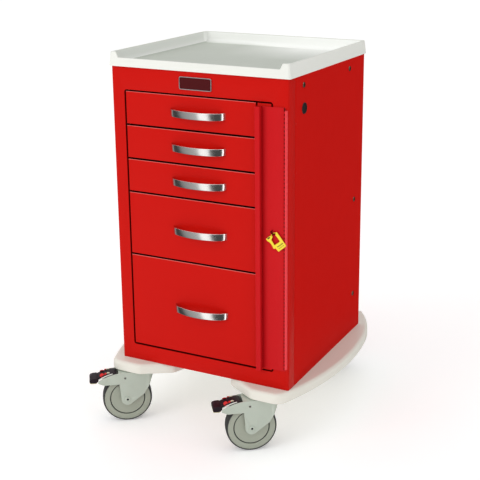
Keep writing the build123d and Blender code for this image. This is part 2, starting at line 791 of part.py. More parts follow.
def wheel_core(x, y):
    groove_in = core_groove_radius - core_groove / 2
    groove_out = core_groove_radius + core_groove / 2
    return turned(x, y, (
        (axle_radius + running_play, 0),
        (axle_radius + running_play, hub_half),
        (hub_radius, hub_half),
        (hub_radius + 2, core_half - 1),
        (groove_in, core_half - 1),
        (groove_in, core_half - 4),
        (groove_out, core_half - 4),
        (groove_out, core_half),
        (tyre_inner + 2, core_half),
        (tyre_inner, core_half - 2),
        (tyre_inner, 0),
    ))


def tyre(x, y):
    return turned(x, y, (
        (tyre_inner, 0),
        (tyre_inner, core_half - 2),
        (tyre_inner + 2, core_half),
        (wheel_radius - 5, tyre_width / 2),
        (wheel_radius - 2, tyre_width / 2 - 1.5),
        (wheel_radius - 0.4, tyre_width / 2 - 5),
        (wheel_radius, tyre_width / 2 - 9),
        (wheel_radius, 0),
    ))


def brake_pedal(x, y):
    side = wheel_frame(x, y)
    pin_half = cheek_outer + 1.5
    with BuildPart() as pedal:
        with BuildSketch(side):
            with BuildLine():
                Polyline((24, crown_rise - 4), (24, crown_rise - 2), (33, crown_rise - 0.7), (46, crown_rise - 0.7),
                         (52, crown_rise - 4), (68, crown_rise - 9.5), (70, crown_rise - 16), (48, crown_rise - 9.5),
                         (48, pivot_rise), (40, pivot_rise), (40, crown_rise - 6.5), close=True)
            make_face()
        extrude(amount=pedal_width / 2, both=True)
        with BuildSketch(side):
            with BuildLine():
                Polyline((66, crown_rise - 9.5), (72, crown_rise - 6.5), (pedal_reach - 3, crown_rise - 11),
                         (pedal_reach, crown_rise - 17), (pedal_reach - 4, crown_rise - 26), (72, crown_rise - 26),
                         (67, crown_rise - 16), close=True)
            make_face()
        extrude(amount=pad_width / 2, both=True)
        with BuildSketch(side):
            with Locations((pivot_u, pivot_rise)):
                Circle(4.5)
        extrude(amount=hub_half, both=True)
        with BuildSketch(side):
            with Locations((pivot_u, pivot_rise)):
                Circle(pedal_pin_radius)
        extrude(amount=pin_half, both=True)
    return pedal.part


for place, (x, y) in caster_places.items():
    keep(fork(x, y), f"caster_{place}_fork")
    keep(axle(x, y), f"caster_{place}_axle")
    keep(wheel_core(x, y), f"caster_{place}_wheel")
    keep(tyre(x, y), f"caster_{place}_tyre")
    keep(brake_pedal(x, y), f"caster_{place}_brake_pedal")

# ---------------------------------------------------------------- footprint and files
boxes = [piece.bounding_box() for piece in pieces.values()]
middle_x = (min(box.min.X for box in boxes) + max(box.max.X for box in boxes)) / 2
middle_y = (min(box.min.Y for box in boxes) + max(box.max.Y for box in boxes)) / 2
os.makedirs("parts", exist_ok=True)
for name, piece in pieces.items():
    placed = piece.moved(Location((-middle_x, -middle_y, 0)))
    placed.label = name
    export_step(placed, f"parts/{name}.step")
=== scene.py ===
import math

import bpy
from mathutils import Matrix, Vector


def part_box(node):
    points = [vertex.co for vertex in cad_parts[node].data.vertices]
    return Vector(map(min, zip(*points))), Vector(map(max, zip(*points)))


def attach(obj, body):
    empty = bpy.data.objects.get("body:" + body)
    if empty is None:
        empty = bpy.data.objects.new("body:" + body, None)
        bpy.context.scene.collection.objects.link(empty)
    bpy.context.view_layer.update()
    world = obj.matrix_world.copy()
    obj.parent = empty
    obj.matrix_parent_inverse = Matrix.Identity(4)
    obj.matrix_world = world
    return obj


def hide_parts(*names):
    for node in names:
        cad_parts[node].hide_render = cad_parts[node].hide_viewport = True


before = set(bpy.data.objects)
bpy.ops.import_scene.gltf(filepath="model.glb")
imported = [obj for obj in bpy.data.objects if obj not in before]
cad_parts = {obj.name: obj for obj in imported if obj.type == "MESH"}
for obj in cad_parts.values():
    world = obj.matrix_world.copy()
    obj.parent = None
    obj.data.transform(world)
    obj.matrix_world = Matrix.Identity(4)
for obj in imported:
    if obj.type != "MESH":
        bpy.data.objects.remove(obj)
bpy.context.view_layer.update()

mm = 0.001
drawers = range(1, 6)
casters = ("front_left", "front_right", "rear_left", "rear_right")


cameraSet = {
    "place": (1.1177, -2.1264, 1.2023),
    "azimuth": 25.24,
    "elevation": 15.43,
    "roll": 0.087,
    "lens": 77.35,
    "shift": (-0.0931, -0.1064),
}


def addCamera():
    turn = (Matrix.Rotation(math.radians(cameraSet["azimuth"]), 3, "Z")
            @ Matrix.Rotation(math.radians(90 - cameraSet["elevation"]), 3, "X")
            @ Matrix.Rotation(math.radians(cameraSet["roll"]), 3, "Z"))
    bpy.ops.object.camera_add(location=cameraSet["place"], rotation=turn.to_euler())
    camera = bpy.context.object
    camera.name = "camera"
    camera.data.lens = cameraSet["lens"]
    camera.data.shift_x, camera.data.shift_y = cameraSet["shift"]
    bpy.context.scene.camera = camera
    print("camera placed")


def boxOf(node):
    low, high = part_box(node)
    return Vector(low), Vector(high)


class Wire:  # one output socket, with the operators that are used on it
    def __init__(self, finish, socket):
        self.finish = finish
        self.socket = socket

    def __add__(self, other):
        return self.finish.maths("ADD", self, other)

    __radd__ = __add__

    def __mul__(self, other):
        return self.finish.maths("MULTIPLY", self, other)

    __rmul__ = __mul__

    def __sub__(self, other):
        return self.finish.maths("SUBTRACT", self, other)

    def __rsub__(self, other):
        return self.finish.maths("SUBTRACT", other, self)

    def __gt__(self, other):
        return self.finish.maths("GREATER_THAN", self, other)

    def __lt__(self, other):
        return self.finish.maths("LESS_THAN", self, other)


class Finish:  # one material, or the world, built from expressions
    def __init__(self, name, tree=None, **fixed):
        if tree is None:
            self.material = bpy.data.materials.new(name)
            self.material.use_nodes = True
            tree = self.material.node_tree
            self.shader = tree.nodes["Principled BSDF"]
            for socket, value in fixed.items():
                self.shader.inputs[socket.replace("_", " ")].default_value = value
        self.tree = tree

    def node(self, kind, settings=None, output=0, **sockets):
        made = self.tree.nodes.new(kind)
        for key, value in (settings or {}).items():
            if key == "stops":
                self.setStops(made.color_ramp, value)
            else:
                setattr(made, key, value)
        for key, value in sockets.items():
            place = int(key[1:]) if key[0] == "i" and key[1:].isdigit() else key.replace("_", " ")
            self.feed(made.inputs[place], value)
        return Wire(self, made.outputs[output])

    def setStops(self, ramp, stops):
        while len(ramp.elements) < len(stops):
            ramp.elements.new(0.5)
        for element, (place, color) in zip(ramp.elements, stops):
            element.position = place
            element.color = (*color, 1) if len(color) == 3 else color

    def feed(self, socket, value):
        if isinstance(value, Wire):
            self.tree.links.new(value.socket, socket)
        elif isinstance(value, tuple) and len(value) == 3 and socket.type == "RGBA":
            socket.default_value = (*value, 1)
        else:
            socket.default_value = value

    def part(self, vector, which):
        return self.node("ShaderNodeSeparateXYZ", output=which, i0=vector)

    def spread(self, value, start, end):  # 0 at the start, 1 at the end
        return self.node("ShaderNodeMapRange", Value=value, i1=start, i2=end)

    def maths(self, operation, first, second=0.0):
        return self.node("ShaderNodeMath", {"operation": operation}, i0=first, i1=second)

    def blend(self, factor, first, second):
        return self.node("ShaderNodeMix", {"data_type": "RGBA"}, output=2, i0=factor, i6=first, i7=second)

    def place(self):
        return self.node("ShaderNodeTexCoord", output=3)

    def noise(self, scale, detail=3.0, rough=0.5, stretch=None):
        spot = self.place()
        if stretch:
            spot = self.node("ShaderNodeMapping", Vector=spot, Scale=stretch)
        return self.node("ShaderNodeTexNoise", Vector=spot, Scale=scale, Detail=detail, Roughness=rough)

    def ramp(self, factor, stops):
        return self.node("ShaderNodeValToRGB", {"stops": stops}, Fac=factor)

    def bump(self, height, depth, strength=1.0, below=None):
        sockets = {"Height": height, "Distance": depth, "Strength": strength}
        if below:
            sockets["Normal"] = below
        return self.node("ShaderNodeBump", **sockets)

    def feedShader(self, **sockets):
        for socket, value in sockets.items():
            self.feed(self.shader.inputs[socket.replace("_", " ")], value)
        return self.material


def paintedSteel(name, color, shade, rough=0.30, shine=0.10):
    paint = Finish(name, IOR=1.5, Specular_IOR_Level=shine)
    broad = paint.noise(3.0, 2.0)
    fine = paint.noise(42.0, 4.0)
    tone = paint.blend(broad * 0.55 + fine * 0.35, color, shade)
    peel = paint.noise(520.0, 2.0, 0.4)
    sag = paint.noise(9.0, 1.0)
    skin = paint.bump(peel, 0.00006, 0.6, paint.bump(sag, 0.0006, 0.25))
    return paint.feedShader(Base_Color=tone, Roughness=rough + 0.08 * fine, Normal=skin)


def mouldedPlastic(name, color, shade, rough=0.45, grain=900.0, depth=0.00008, mottle=16.0, shine=0.5):
    plastic = Finish(name, IOR=1.46, Specular_IOR_Level=shine)
    cloud = plastic.noise(mottle, 4.0)
    speck = plastic.noise(grain, 2.0)
    tone = plastic.blend(cloud, color, shade)
    skin = plastic.bump(speck, depth, 0.5)
    return plastic.feedShader(Base_Color=tone, Roughness=rough + 0.12 * cloud, Normal=skin)


def polishedMetal(name, color, shade, rough, brush=(1, 1, 1), grain=300.0, depth=0.00002):
    metal = Finish(name, Metallic=1.0)
    streak = metal.noise(grain, 3.0, 0.6, brush)
    smear = metal.noise(14.0, 2.0)
    tone = metal.blend(smear * 0.6 + streak * 0.4, color, shade)
    return metal.feedShader(Base_Color=tone, Roughness=rough + 0.06 * streak + 0.05 * smear,
                      Normal=metal.bump(streak, depth, 0.4))


def tyreRubber(name, color, dust):
    rubber = Finish(name, IOR=1.5)
    patch = rubber.noise(60.0, 5.0, 0.65)
    grit = rubber.noise(1400.0, 2.0)
    tone = rubber.blend(rubber.maths("MULTIPLY", patch, patch), color, dust)
    return rubber.feedShader(Base_Color=tone, Roughness=0.62 + 0.2 * patch,
                       Normal=rubber.bump(grit, 0.00012, 0.6))


# Where the painted shade of the rib's shadow lies on the bar's face, and how dark it gets.
barFaceSet = {"rib": 12.0, "clear": 0.3, "shadeEnd": 27.0, "darkest": 0.70}


def barPaint():  # the bar's enamel, with painted shade for the rib's shadow on the face beside the rib
    paint = paintedSteel("barFaceRibShade", (0.560, 0.008, 0.011), (0.510, 0.006, 0.009), 0.26, 0.09)
    finish = Finish("barFaceRibShade", paint.node_tree)
    shader = paint.node_tree.nodes["Principled BSDF"]
    tone = Wire(finish, shader.inputs["Base Color"].links[0].from_socket)
    left = boxOf("lock_bar")[0].x
    # Painted shade: the enamel is darkened in a band beside the rib, where the rib's shadow falls.
    across = (finish.part(finish.place(), 0) - left) * (1 / mm)
    beside = across > barFaceSet["rib"] + barFaceSet["clear"]
    ribShade = beside * (1.0 - finish.spread(across, barFaceSet["rib"], barFaceSet["shadeEnd"]))
    dark = finish.node("ShaderNodeMix", {"data_type": "RGBA", "blend_type": "MULTIPLY"}, output=2,
                       i0=ribShade, i6=tone, i7=(barFaceSet["darkest"],) * 3)
    finish.feed(shader.inputs["Base Color"], dark)
    return paint


# Where painted light makes the tray's inside lighter, measured from its left edge or from its back edge.
trayFloorSet = {
    "across": (130.0, 290.0), "deep": (220.0, 20.0), "backWall": (24.0, 8.0), "leftWall": 12.0,
    "floorShare": 0.8, "wallShare": 0.7, "lightest": (0.97, 0.98, 0.95),
}


def trayFloor():  # the tray's inside, with painted light making it lighter at its back right and on its back and left walls
    t = trayFloorSet
    paint = mouldedPlastic("trayInsidePaintedLight", (0.530, 0.560, 0.500), (0.500, 0.530, 0.470), 0.38, 700.0)
    finish = Finish("trayInsidePaintedLight", paint.node_tree)
    shader = paint.node_tree.nodes["Principled BSDF"]
    tone = Wire(finish, shader.inputs["Base Color"].links[0].from_socket)
    low, high = boxOf("top_tray")
    spot = finish.place()
    across, depth = finish.part(spot, 0), finish.part(spot, 1)
    over = finish.spread(across, *(low.x + place * mm for place in t["across"]))
    deep = finish.spread(depth, *(high.y - place * mm for place in t["deep"]))
    wall = finish.spread(depth, *(high.y - place * mm for place in t["backWall"]))
    side = (across < low.x + t["leftWall"] * mm) * t["wallShare"]
    light = finish.maths("MINIMUM", over * deep * t["floorShare"] + wall + side, 1.0)
    finish.feed(shader.inputs["Base Color"], finish.blend(light, tone, t["lightest"]))
    return paint


finishes = {
    "redEnamel": paintedSteel("redEnamel", (0.555, 0.0060, 0.0030), (0.510, 0.0045, 0.0022), 0.30, 0.07),
    "barRed": paintedSteel("barRed", (0.560, 0.008, 0.011), (0.510, 0.006, 0.009), 0.26, 0.09),
    # A lighter, pinker red for the whole hinge: a painted highlight for the barrel's light line.
    "hingeRedHighlight": paintedSteel("hingeRedHighlight", (0.780, 0.048, 0.060), (0.700, 0.036, 0.046), 0.22, 0.3),
    "barFaceRibShade": barPaint(),
    # The next three reds are painted light: near-black reds for painted shade in recesses, gaps and slots,
    # and a light pink for a painted highlight.
    "redShade": paintedSteel("redShade", (0.110, 0.002, 0.001), (0.090, 0.002, 0.001), 0.5, 0.05),
    "redGapShade": paintedSteel("redGapShade", (0.022, 0.001, 0.001), (0.018, 0.001, 0.001), 0.5, 0.02),
    "redRollHighlight": paintedSteel("redRollHighlight", (0.85, 0.16, 0.14), (0.78, 0.13, 0.12), 0.3, 0.2),
    "redSide": paintedSteel("redSide", (0.555, 0.0050, 0.0025), (0.500, 0.0040, 0.0020), 0.34, 0.015),
    "greyEnamel": paintedSteel("greyEnamel", (0.62, 0.63, 0.62), (0.56, 0.57, 0.56), 0.38, 0.4),
    "trayPlastic": mouldedPlastic("trayPlastic", (0.800, 0.810, 0.760), (0.760, 0.770, 0.715), 0.36),
    "trayInsidePaintedLight": trayFloor(),
    "baseCream": mouldedPlastic("baseCream", (0.790, 0.775, 0.700), (0.745, 0.725, 0.645), 0.40),
    "casterGrey": mouldedPlastic("casterGrey", (0.505, 0.555, 0.480), (0.455, 0.505, 0.430), 0.17),
    "wheelGrey": mouldedPlastic("wheelGrey", (0.375, 0.400, 0.325), (0.335, 0.360, 0.290), 0.42),
    "pedalDark": mouldedPlastic("pedalDark", (0.016, 0.010, 0.014), (0.028, 0.018, 0.024), 0.34,
                                shine=0.16),
    "dotRed": mouldedPlastic("dotRed", (0.70, 0.01, 0.01), (0.62, 0.01, 0.01), 0.35),
    "dotCream": mouldedPlastic("dotCream", (0.75, 0.68, 0.50), (0.68, 0.60, 0.42), 0.35),
    "sealYellow": mouldedPlastic("sealYellow", (0.880, 0.720, 0.035), (0.820, 0.620, 0.025), 0.28, 500.0),
    "sealPrint": mouldedPlastic("sealPrint", (0.10, 0.06, 0.01), (0.07, 0.04, 0.01), 0.5),
    "plugBlack": mouldedPlastic("plugBlack", (0.010, 0.010, 0.011), (0.018, 0.018, 0.018), 0.45),
    "badgeField": paintedSteel("badgeField", (0.075, 0.006, 0.008), (0.055, 0.005, 0.006), 0.22),
    "chrome": polishedMetal("chrome", (0.80, 0.80, 0.79), (0.70, 0.70, 0.69), 0.10),
    "pullChrome": polishedMetal("pullChrome", (0.74, 0.73, 0.71), (0.64, 0.63, 0.61), 0.13, (0.2, 1, 8)),
    "screwSteel": polishedMetal("screwSteel", (0.26, 0.20, 0.14), (0.16, 0.12, 0.09), 0.34),
    "boltSteel": polishedMetal("boltSteel", (0.30, 0.29, 0.25), (0.20, 0.19, 0.17), 0.34),
    "zincSteel": polishedMetal("zincSteel", (0.60, 0.61, 0.62), (0.48, 0.49, 0.50), 0.30, (1, 0.1, 4),
                               200.0, 0.00005),
    "tyre": tyreRubber("tyre", (0.024, 0.026, 0.028), (0.075, 0.074, 0.070)),
    "ringDark": tyreRubber("ringDark", (0.020, 0.024, 0.028), (0.04, 0.04, 0.04)),
}


def nodeFinish(node):
    ends = {"_box": "greyEnamel", "_pull": "pullChrome", "_slide_middles": "zincSteel",
            "_fork": "casterGrey", "_axle": "chrome", "_tyre": "tyre", "_brake_pedal": "pedalDark"}
    for end, finish in ends.items():
        if node.endswith(end):
            return finish
    if node.startswith("caster_") and node.endswith("_wheel"):
        return "wheelGrey"
    named = {"slide_outers": "zincSteel", "slide_posts": "zincSteel", "caster_mounts": "zincSteel",
             "top_tray": "trayPlastic", "base_bumper": "baseCream", "badge": "chrome",
             "side_screws": "chrome", "side_plugs": "plugBlack", "hinge_fixed_leaf": "hingeRedHighlight",
             "hinge_moving_leaf": "hingeRedHighlight", "hinge_pin": "zincSteel", "lock_bar": "barRed",
             "seal": "sealYellow"}
    return named.get(node, "redSide" if node.startswith("side_panel") else "redEnamel")


def dressNodes():
    for name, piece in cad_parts.items():
        piece.data.materials.clear()
        piece.data.materials.append(finishes[nodeFinish(name)])
    print("frame nodes dressed")


def deselectAll():
    bpy.ops.object.select_all(action="DESELECT")


def makeActive(piece):
    deselectAll()
    piece.select_set(True)
    bpy.context.view_layer.objects.active = piece


def applyPlace(piece):
    makeActive(piece)
    bpy.ops.object.transform_apply(location=True, rotation=True, scale=True)


def editAll(piece, mode="VERT"):
    makeActive(piece)
    bpy.ops.object.mode_set(mode="EDIT")
    bpy.ops.mesh.select_mode(type=mode)
    bpy.ops.mesh.select_all(action="SELECT")


def editFaces(piece, test):  # test gets the middle and the normal of a face
    editAll(piece, "FACE")
    bpy.ops.mesh.select_all(action="DESELECT")
    bpy.ops.object.mode_set(mode="OBJECT")
    for face in piece.data.polygons:
        face.select = test(face.center, face.normal)
    bpy.ops.object.mode_set(mode="EDIT")


def editEdges(piece, test):  # test gets the two ends of an edge
    editAll(piece, "EDGE")
    bpy.ops.mesh.select_all(action="DESELECT")
    bpy.ops.object.mode_set(mode="OBJECT")
    ends = piece.data.vertices
    for edge in piece.data.edges:
        edge.select = test(ends[edge.vertices[0]].co, ends[edge.vertices[1]].co)
    bpy.ops.object.mode_set(mode="EDIT")


def editDone():
    bpy.ops.object.mode_set(mode="OBJECT")


def bevelEdges(piece, test, width, segments=3):
    editEdges(piece, test)
    bpy.ops.mesh.bevel(offset=width, segments=segments, profile=0.5, affect="EDGES", clamp_overlap=True)
    editDone()


def cleanNormals(piece):
    editAll(piece)
    bpy.ops.mesh.remove_doubles(threshold=0.000005)
    bpy.ops.mesh.normals_make_consistent(inside=False)
    editDone()


def applyModifier(piece, kind, **settings):
    makeActive(piece)
    modifier = piece.modifiers.new(kind.lower(), kind)
    for key, value in settings.items():
        setattr(modifier, key, value)
    bpy.ops.object.modifier_apply(modifier=modifier.name)


def roundEdges(piece, width, segments=3, angle=35):
    applyModifier(piece, "BEVEL", width=width, segments=segments, limit_method="ANGLE",
                  angle_limit=math.radians(angle), harden_normals=False)


def addBlock(low, high):
    deselectAll()
    size = high - low
    bpy.ops.mesh.primitive_cube_add(size=1, location=(low + high) / 2)
    piece = bpy.context.object
    piece.scale = size
    applyPlace(piece)
    return piece


def addLoop(points):  # a closed wire loop through the points
    deselectAll()
    bpy.ops.mesh.primitive_circle_add(vertices=len(points), radius=1, fill_type="NOTHING")
    piece = bpy.context.object
    for corner, point in zip(piece.data.vertices, points):
        corner.co = point
    return piece


def addPlate(points, depth):  # a flat outline, filled and pushed out by depth
    piece = addLoop(points)
    editAll(piece)
    bpy.ops.mesh.edge_face_add()
    bpy.ops.mesh.extrude_region_move(TRANSFORM_OT_translate={"value": depth})
    editDone()
    cleanNormals(piece)
    return piece


def addTurned(points, steps, axis="Y", opened=False):  # a section turned once round the origin
    piece = addLoop(points)
    if opened:  # the section begins and ends on the axis, so its closing edge is left out
        ends = Vector(points[0]), Vector(points[-1])
        editEdges(piece, lambda a, b: (a - ends[0]).length + (b - ends[1]).length < 1e-6
                  or (a - ends[1]).length + (b - ends[0]).length < 1e-6)
        bpy.ops.mesh.delete(type="EDGE")
        editDone()
    editAll(piece)
    way = {"X": (1, 0, 0), "Y": (0, 1, 0), "Z": (0, 0, 1)}[axis]
    bpy.ops.mesh.spin(steps=steps, angle=math.radians(360), center=(0, 0, 0), axis=way)
    editDone()
    cleanNormals(piece)
    return piece


def addRod(points, radius):  # a round rod along the points
    bpy.ops.curve.primitive_nurbs_path_add(location=(0, 0, 0))
    rod = bpy.context.object
    rod.data.splines.clear()
    spline = rod.data.splines.new("NURBS")
    spline.points.add(len(points) - 1)
    for corner, point in zip(spline.points, points):
        corner.co = (*point, 1)
    spline.use_endpoint_u = True
    rod.data.bevel_depth = radius
    rod.data.bevel_resolution = 4
    rod.data.use_fill_caps = True
    bpy.ops.object.convert(target="MESH")
    rod = bpy.context.object
    cleanNormals(rod)
    return rod


def dropFaces(piece, test, keep):  # deletes the faces that pass the test, or keeps only those
    editFaces(piece, lambda middle, normal: test(middle, normal) != keep)
    bpy.ops.mesh.delete(type="FACE")
    editDone()


def shadeFaces(piece, test, finish):  # gives the faces that pass the test a second finish
    piece.data.materials.append(finishes[finish])
    slot = len(piece.data.materials) - 1
    for face in piece.data.polygons:
        if test(face.center, face.normal):
            face.material_index = slot


def camel(node):
    first, *rest = node.split("_")
    return first + "".join(word.capitalize() for word in rest)


def joinPieces(pieces):
    deselectAll()
    for piece in pieces:
        piece.select_set(True)
    bpy.context.view_layer.objects.active = pieces[0]
    bpy.ops.object.join()
    return bpy.context.object


def copyPiece(piece, name):
    twin = piece.copy()
    twin.data = piece.data.copy()
    twin.name = name
    bpy.context.collection.objects.link(twin)
    return twin


def copyOfNode(node, name):  # the frame's own shape, welded so that it can be finished further
    piece = copyPiece(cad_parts[node], name)
    piece.parent = None
    editAll(piece)
    bpy.ops.mesh.remove_doubles(threshold=0.00002)
    bpy.ops.mesh.dissolve_limited(angle_limit=math.radians(0.3))
    editDone()
    return piece


def finishPiece(piece, name, finish, body, replaces=(), smooth=40):
    applyPlace(piece)
    piece.name = name
    bpy.ops.object.shade_smooth_by_angle(angle=math.radians(smooth))
    piece.data.materials.clear()
    piece.data.materials.append(finishes[finish])
    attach(piece, body)
    if replaces:
        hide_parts(*replaces)
    return piece


def near(value, wanted, slack=0.0002):
    return abs(value - wanted) < slack


frontSet = {"roll": 1.6, "lip": 14.0, "depth": 14.0, "edge": 0.4, "rim": 2.0}


def makeDrawerFronts():
    for k in drawers:
        node = f"drawer_{k}_front"
        low, high = boxOf(node)
        rim = low.y + frontSet["rim"] * mm
        piece = addBlock(low, high)
        editFaces(piece, lambda middle, normal: normal.y > 0.9)
        bpy.ops.mesh.inset(thickness=frontSet["lip"] * mm)
        bpy.ops.mesh.extrude_region_move(TRANSFORM_OT_translate={"value": (0, -frontSet["depth"] * mm, 0)})
        editDone()
        bevelEdges(piece, lambda a, b: near(a.y, low.y) and near(b.y, low.y), frontSet["roll"] * mm, 4)
        roundEdges(piece, frontSet["edge"] * mm, 2, 60)
        finishPiece(piece, f"drawerFront{k}", "redEnamel", f"drawer_{k}", (node,))
        # Painted shade: the fronts' sides deep in the gaps and their lower rolled edges are near black.
        # Painted highlight: their upper rolled edges are light pink.
        shadeFaces(piece, lambda middle, normal: abs(normal.y) < 0.3 and middle.y > rim, "redGapShade")
        shadeFaces(piece, lambda middle, normal: normal.z > 0.3 and middle.y < rim, "redRollHighlight")
        shadeFaces(piece, lambda middle, normal: normal.z < -0.3 and middle.y < rim, "redGapShade")
    print("drawer fronts made")


pullSet = {"reach": 26.0, "band": 3.0, "height": 16.0, "middleRadius": 144.7, "middleTurn": 20.2,
           "endRadius": 29.9, "endTurn": 52.0, "edge": 1.1, "middleSteps": 14, "endSteps": 14}


def makePulls():
    p = pullSet
    first = None
    for k in drawers:
        node = f"drawer_{k}_pull"
        low, high = boxOf(node)
        spot = Vector(((low.x + high.x) / 2, high.y, (low.z + high.z) / 2))
        if first is None:
            halfBand, halfHeight = p["band"] / 2 * mm, p["height"] / 2 * mm
            front = -p["reach"] * mm + halfBand
            section = addLoop([(0, front - halfBand, -halfHeight), (0, front + halfBand, -halfHeight),
                               (0, front + halfBand, halfHeight), (0, front - halfBand, halfHeight)])
            editAll(section)
            bpy.ops.mesh.bevel(offset=p["edge"] * mm, segments=3, affect="VERTICES")
            bpy.ops.mesh.select_all(action="SELECT")
            turn = math.radians(p["middleTurn"])
            radius = p["middleRadius"] * mm
            center = Vector((0, front + radius, 0))
            bpy.ops.mesh.spin(steps=p["middleSteps"], angle=turn, center=center, axis=(0, 0, 1))
            inner = p["endRadius"] * mm
            nextCenter = center + Vector((-math.sin(turn), -math.cos(turn), 0)) * (radius - inner)
            bpy.ops.mesh.spin(steps=p["endSteps"], angle=math.radians(p["endTurn"]), center=nextCenter,
                              axis=(0, 0, 1))
            editDone()
            applyModifier(section, "MIRROR", use_axis=(True, False, False), merge_threshold=0.00002)
            editAll(section)
            bpy.ops.mesh.bisect(plane_co=(0, 0, 0), plane_no=(0, 1, 0), use_fill=True, clear_outer=True)
            editDone()
            cleanNormals(section)
            first = section
        piece = copyPiece(first, f"pull{k}")
        piece.location = spot
        finishPiece(piece, f"pull{k}", "pullChrome", f"drawer_{k}", (node,), 50)
    bpy.data.objects.remove(first)
    print("pulls made")


barSet = {"rib": 12.0, "sheet": 1.2, "ribFoot": 5.0, "ribRoll": 1.6, "edge": 0.3, "tooth": 2.4,
          "pitch": 8.7, "toothHeight": 4.6}


def makeLockBar():
    sheet, rib = barSet["sheet"] * mm, barSet["rib"] * mm
    low, high = boxOf("lock_bar")
    left, right, back = low.x, high.x, high.y
    flat, crest = high.y - sheet, low.y
    outline = [(left, back), (left, crest), (left + rib, crest), (left + rib, back),
               (left + rib - sheet, back), (left + rib - sheet, crest + sheet),
               (left + sheet, crest + sheet), (left + sheet, back)]
    piece = addPlate([(x, y, low.z) for x, y in outline], (0, 0, high.z - low.z))
    bevelEdges(piece, lambda a, b: near(a.y, crest) and near(b.y, crest) and near(a.x, b.x),
               barSet["ribRoll"] * mm, 4)
    foot, edge = low.z + barSet["ribFoot"] * mm, right - barSet["tooth"] * mm
    plate = addBlock(Vector((left + rib - sheet / 2, flat, foot)), Vector((edge, back, high.z)))
    tooth = addBlock(Vector((edge, flat, foot)), Vector((right, back, foot + barSet["toothHeight"] * mm)))
    count = int((high.z - foot) / (barSet["pitch"] * mm))
    applyModifier(tooth, "ARRAY", count=count, use_relative_offset=False, use_constant_offset=True,
                  constant_offset_displace=(0, 0, barSet["pitch"] * mm))
    piece = joinPieces([piece, plate, tooth])
    roundEdges(piece, barSet["edge"] * mm, 2, 50)
    finishPiece(piece, "lockBar", "barFaceRibShade", "lock_bar", ("lock_bar",))
    leaf = copyOfNode("hinge_moving_leaf", "copy")
    finishPiece(leaf, "hingeLeaf", "hingeRedHighlight", "lock_bar", ("hinge_moving_leaf",))
    # Painted shade: the moving leaf's front faces are near black, so the slots between the bar's teeth show
    # dark.
    shadeFaces(leaf, lambda middle, normal: normal.y < -0.5 and middle.x < right, "redShade")
    print("lock bar made")


# The seal is drawn in its own plane, staple at the origin and foot downwards, then leant over.
sealSet = {
    "inset": 35.2, "rise": 369.0, "lean": 39.8, "thick": 2.2, "edge": 0.45,
    "outline": [(9.6, -2.9), (10.4, -5.6), (10.1, -38.4), (7.9, -40.6), (-14.0, -40.6), (-15.2, -31.1),
                (-18.7, -29.9), (-20.2, -28.1), (-18.6, -23.4), (-18.3, -16.6), (-19.3, -11.6),
                (-21.3, -8.5), (-21.7, -2.6), (-16.6, -1.9), (-11.4, -1.9), (-7.2, -3.2), (-4.0, -5.7),
                (-6.6, -7.9), (-12.1, -10.9), (-13.2, -24.1), (1.4, -24.7), (4.1, -23.2), (3.4, -7.7)],
    "printLines": [(-9.4, 7.0, -32.2, 2.2, 0.9, 5), (-8.6, 6.6, -36.4, 1.1, 0.5, 9)],
    "printRise": 0.15, "printSink": 0.05, "printEdge": 0.12,
    "tip": (-14.3, -4.3, 3.4, 1.6),
    "shackle": [(-8.0, -4.0), (-5.0, -2.2), (0.0, -0.9), (4.5, -2.2), (7.5, -5.0)], "shackleRadius": 0.8,
    "staple": (4.0, 10.0, 1.5), "stapleEdge": 0.4, "stapleProud": 0.4, "stapleSink": 0.1,
}


def makeSeal():
    q = sealSet
    back = boxOf("seal")[1].y
    thick = q["thick"] * mm
    across = boxOf("side_panel_right")[1].x - q["inset"] * mm
    spot = Vector((across, back, cabinetFoot() + q["rise"] * mm))
    turn = -math.radians(q["lean"])
    plate = addPlate([(x * mm, 0, z * mm) for x, z in q["outline"]], (0, -thick, 0))
    roundEdges(plate, q["edge"] * mm, 3, 30)
    bow = [Vector((x * mm, -thick / 2, z * mm)) for x, z in q["shackle"]]
    shackle = addRod(bow, q["shackleRadius"] * mm)
    tag = joinPieces([plate, shackle])
    marks = []
    rise, sink = -thick - q["printRise"] * mm, -thick + q["printSink"] * mm
    for left, right, height, tall, gap, count in q["printLines"]:
        wide = (right - left - gap * (count - 1)) / count
        for k in range(count):
            x = left + k * (wide + gap)
            marks.append(addBlock(Vector((x * mm, rise, height * mm)),
                                  Vector(((x + wide) * mm, sink, (height + tall) * mm))))
    tipX, tipZ, tipWide, tipTall = q["tip"]
    marks.append(addBlock(Vector(((tipX - tipWide) * mm, rise, (tipZ - tipTall) * mm)),
                          Vector(((tipX + tipWide) * mm, sink, (tipZ + tipTall) * mm))))
    marks = joinPieces(marks)
    roundEdges(marks, q["printEdge"] * mm, 2, 50)
    for piece, name, finish in ((tag, "sealTag", "sealYellow"), (marks, "sealPrint", "sealPrint")):
        piece.rotation_euler = (0, turn, 0)
        piece.location = spot
        finishPiece(piece, name, finish, "lock_bar", ("seal",) if name == "sealTag" else ())
    barFront = boxOf("lock_bar")[1].y - barSet["sheet"] * mm
    wide, tall, sheet = (value * mm for value in q["staple"])
    reach = barFront - (back - thick) + q["stapleProud"] * mm
    legs = []
    for side in (-1, 1):
        middle = side * (tall - sheet) / 2
        legs.append(addBlock(Vector((-wide / 2, -reach - sheet, middle - sheet / 2)),
                             Vector((wide / 2, q["stapleSink"] * mm, middle + sheet / 2))))
    legs.append(addBlock(Vector((-wide / 2, -reach - sheet, -tall / 2)),
                         Vector((wide / 2, -reach, tall / 2))))
    staple = joinPieces(legs)
    roundEdges(staple, q["stapleEdge"] * mm, 3, 50)
    staple.rotation_euler = (0, turn, 0)
    staple.location = (spot.x, barFront, spot.z)
    # The staple is given the near-black red: painted shade over a part that is red.
    finishPiece(staple, "staple", "redShade", "lock_bar")
    print("seal made")


badgeSet = {"corner": 4.0, "rim": 1.7, "sink": 0.85, "edge": 0.5, "fieldThick": 0.4}


